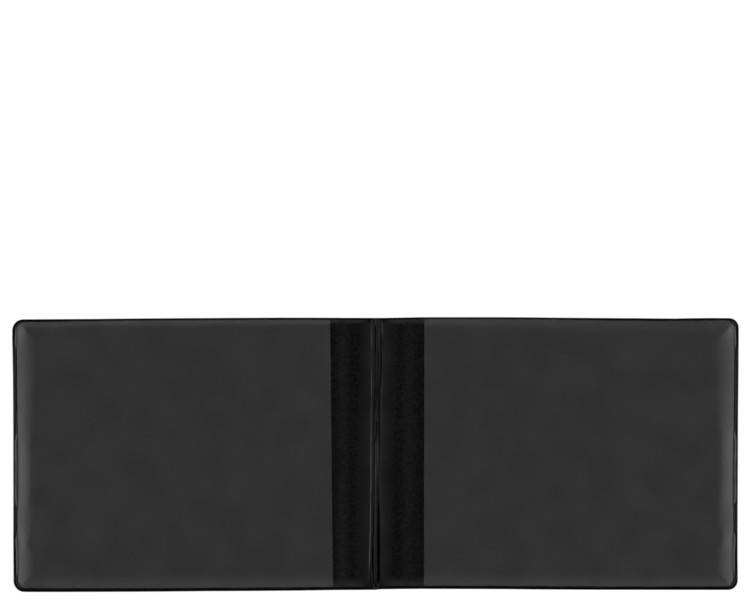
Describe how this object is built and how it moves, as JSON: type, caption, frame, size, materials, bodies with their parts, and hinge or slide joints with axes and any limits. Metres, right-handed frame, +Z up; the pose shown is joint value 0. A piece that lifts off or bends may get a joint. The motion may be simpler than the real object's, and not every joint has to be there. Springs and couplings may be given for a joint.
{
  "type": "registration document holder",
  "caption": "Flat folding vinyl holder for vehicle papers, with a clear pocket on the inside of each leaf and a welded edge.",
  "frame": {"origin": "middle of the spine on the outer face of the cover, with the holder open flat", "axes": "+X from the front leaf across the spine to the back leaf, +Y along the spine to the top edge, +Z up out of the pockets"},
  "size_m": [0.2708, 0.1016, 0.0019],
  "materials": {
    "cover_vinyl": "satin",
    "lining_vinyl": "matte",
    "welded_vinyl": "gloss",
    "pocket_film": "satin",
    "board": "matte"
  },
  "bodies": {
    "back_leaf": {"back_cover": "cover_vinyl", "back_stiffener": "board", "back_lining": "lining_vinyl", "back_pocket_film": "pocket_film", "back_edge_weld": "welded_vinyl"},
    "spine": {"spine_cover": "cover_vinyl", "spine_lining": "lining_vinyl", "spine_top_weld": "welded_vinyl", "spine_bottom_weld": "welded_vinyl"},
    "front_leaf": {"front_cover": "cover_vinyl", "front_stiffener": "board", "front_lining": "lining_vinyl", "front_pocket_film": "pocket_film", "front_edge_weld": "welded_vinyl"}
  },
  "joints": [
    {"name": "back_crease", "type": "hinge", "parent": "back_leaf", "child": "spine", "pos_m": [0.002, 0, 0], "axis": [0, 1, 0], "range_deg": [0, 90]},
    {"name": "front_crease", "type": "hinge", "parent": "spine", "child": "front_leaf", "pos_m": [-0.002, 0, 0], "axis": [0, 1, 0], "range_deg": [0, 90]}
  ],
  "couplings": [
    {"joint": "front_crease", "follows": "back_crease", "ratio": 1}
  ]
}
